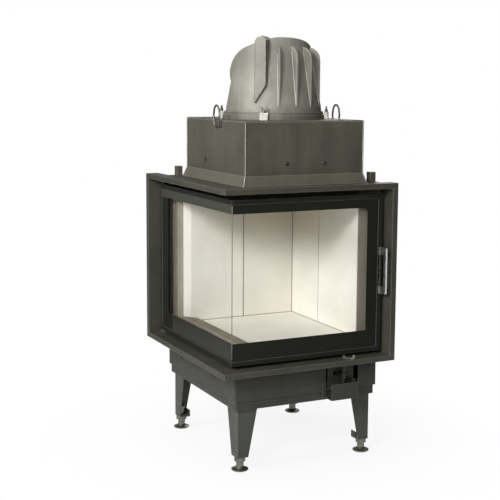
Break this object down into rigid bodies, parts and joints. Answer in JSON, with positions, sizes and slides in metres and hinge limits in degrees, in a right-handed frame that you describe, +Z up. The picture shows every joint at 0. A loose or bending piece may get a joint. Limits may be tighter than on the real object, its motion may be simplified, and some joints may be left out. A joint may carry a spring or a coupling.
{
  "type": "wood-burning fireplace insert",
  "caption": "Build-in wood stove with a corner glass door, brick-lined firebox, hood, turning ribbed flue dome and screw feet.",
  "frame": {"origin": "middle of the floor print, on the floor", "axes": "+Z up, +Y from the front pane to the back, +X to the right as seen from the front"},
  "size_m": [0.652, 0.708, 1.458],
  "materials": {
    "shell_steel": "matt heat-proof paint, dark grey",
    "base_steel": "matt heat-proof paint, dark grey",
    "door_steel": "matt black",
    "dome_iron": "bare casting, grey",
    "glass_ceramic": "clear, with a black printed border",
    "firebrick": "pale cream, matt and slightly grainy",
    "stainless": "brushed",
    "zinc": "zinc plated",
    "rope": "woven glass fibre, dark"
  },
  "bodies": {
    "stove": {"air_inlet_collar": "base_steel", "back_wall": "shell_steel", "baffle_brackets": "shell_steel", "base_collar": "base_steel", "base_pan": "base_steel", "base_screws": "zinc", "chamber_bottom": "shell_steel", "chamber_top": "shell_steel", "dome_clamp_screws": "zinc", "dome_clamps": "zinc", "dome_ring": "dome_iron", "firebrick_back_left": "firebrick", "firebrick_back_right": "firebrick", "firebrick_floor": "firebrick", "firebrick_ledge": "firebrick", "firebrick_right_front": "firebrick", "firebrick_right_rear": "firebrick", "foot_clamp_screws": "zinc", "foot_lock_nuts": "zinc", "frame_bottom_shelf": "shell_steel", "frame_left_fin": "shell_steel", "frame_right_fin": "shell_steel", "frame_top_shelf": "shell_steel", "front_jamb": "shell_steel", "hinge_brackets": "shell_steel", "hinge_pins": "door_steel", "hood_plugs": "zinc", "hood_skirt": "shell_steel", "hood_top_plate": "shell_steel", "hood_walls": "shell_steel", "latch_keeper": "shell_steel", "leg_front_left": "base_steel", "leg_front_right": "base_steel", "leg_rear_left": "base_steel", "leg_rear_right": "base_steel", "lifting_loops": "zinc", "lower_baffle": "firebrick", "post_brackets": "shell_steel", "regulator_housing": "base_steel", "right_wall": "shell_steel", "shutter_rails": "base_steel", "side_jamb": "shell_steel", "upper_baffle": "firebrick"},
    "door": {"door_frame": "door_steel", "front_pane": "glass_ceramic", "side_pane": "glass_ceramic", "glass_retainers": "door_steel", "door_seal": "rope"},
    "handle": {"door_handle": "door_steel", "handle_pin": "door_steel", "latch_tongue": "door_steel"},
    "air_control": {"regulator_shaft": "zinc", "air_lever": "stainless", "regulator_crank": "zinc"},
    "shutter": {"air_shutter": "base_steel"},
    "dome": {"flue_dome": "dome_iron"},
    "foot_fl": {"foot_front_left": "zinc"},
    "foot_fr": {"foot_front_right": "zinc"},
    "foot_rl": {"foot_rear_left": "zinc"},
    "foot_rr": {"foot_rear_right": "zinc"}
  },
  "joints": [
    {"name": "door_hinge", "type": "hinge", "parent": "stove", "child": "door", "pos_m": [-0.272, 0.319, 0.645], "axis": [0, 0, -1], "range_deg": [0, 90]},
    {"name": "handle_turn", "type": "hinge", "parent": "door", "child": "handle", "pos_m": [0.2835, -0.316, 0.66], "axis": [0, 0, -1], "range_deg": [0, 20]},
    {"name": "air_lever_turn", "type": "hinge", "parent": "stove", "child": "air_control", "pos_m": [0.148, -0.31, 0.305], "axis": [0, 0, -1], "range_deg": [0, 44]},
    {"name": "shutter_slide", "type": "slide", "parent": "stove", "child": "shutter", "axis": [1, 0, 0], "range_m": [0, 0.0226]},
    {"name": "dome_turn", "type": "hinge", "parent": "stove", "child": "dome", "pos_m": [-0.0005, -0.05, 1.178], "axis": [0, 0, 1], "continuous": true},
    {"name": "foot_fl_screw", "type": "slide", "parent": "stove", "child": "foot_fl", "axis": [0, 0, -1], "range_m": [-0.015, 0.025]},
    {"name": "foot_fr_screw", "type": "slide", "parent": "stove", "child": "foot_fr", "axis": [0, 0, -1], "range_m": [-0.015, 0.025]},
    {"name": "foot_rl_screw", "type": "slide", "parent": "stove", "child": "foot_rl", "axis": [0, 0, -1], "range_m": [-0.015, 0.025]},
    {"name": "foot_rr_screw", "type": "slide", "parent": "stove", "child": "foot_rr", "axis": [0, 0, -1], "range_m": [-0.015, 0.025]}
  ],
  "couplings": [
    {"joint": "shutter_slide", "follows": "air_lever_turn", "m_per_rad": 0.02927}
  ]
}
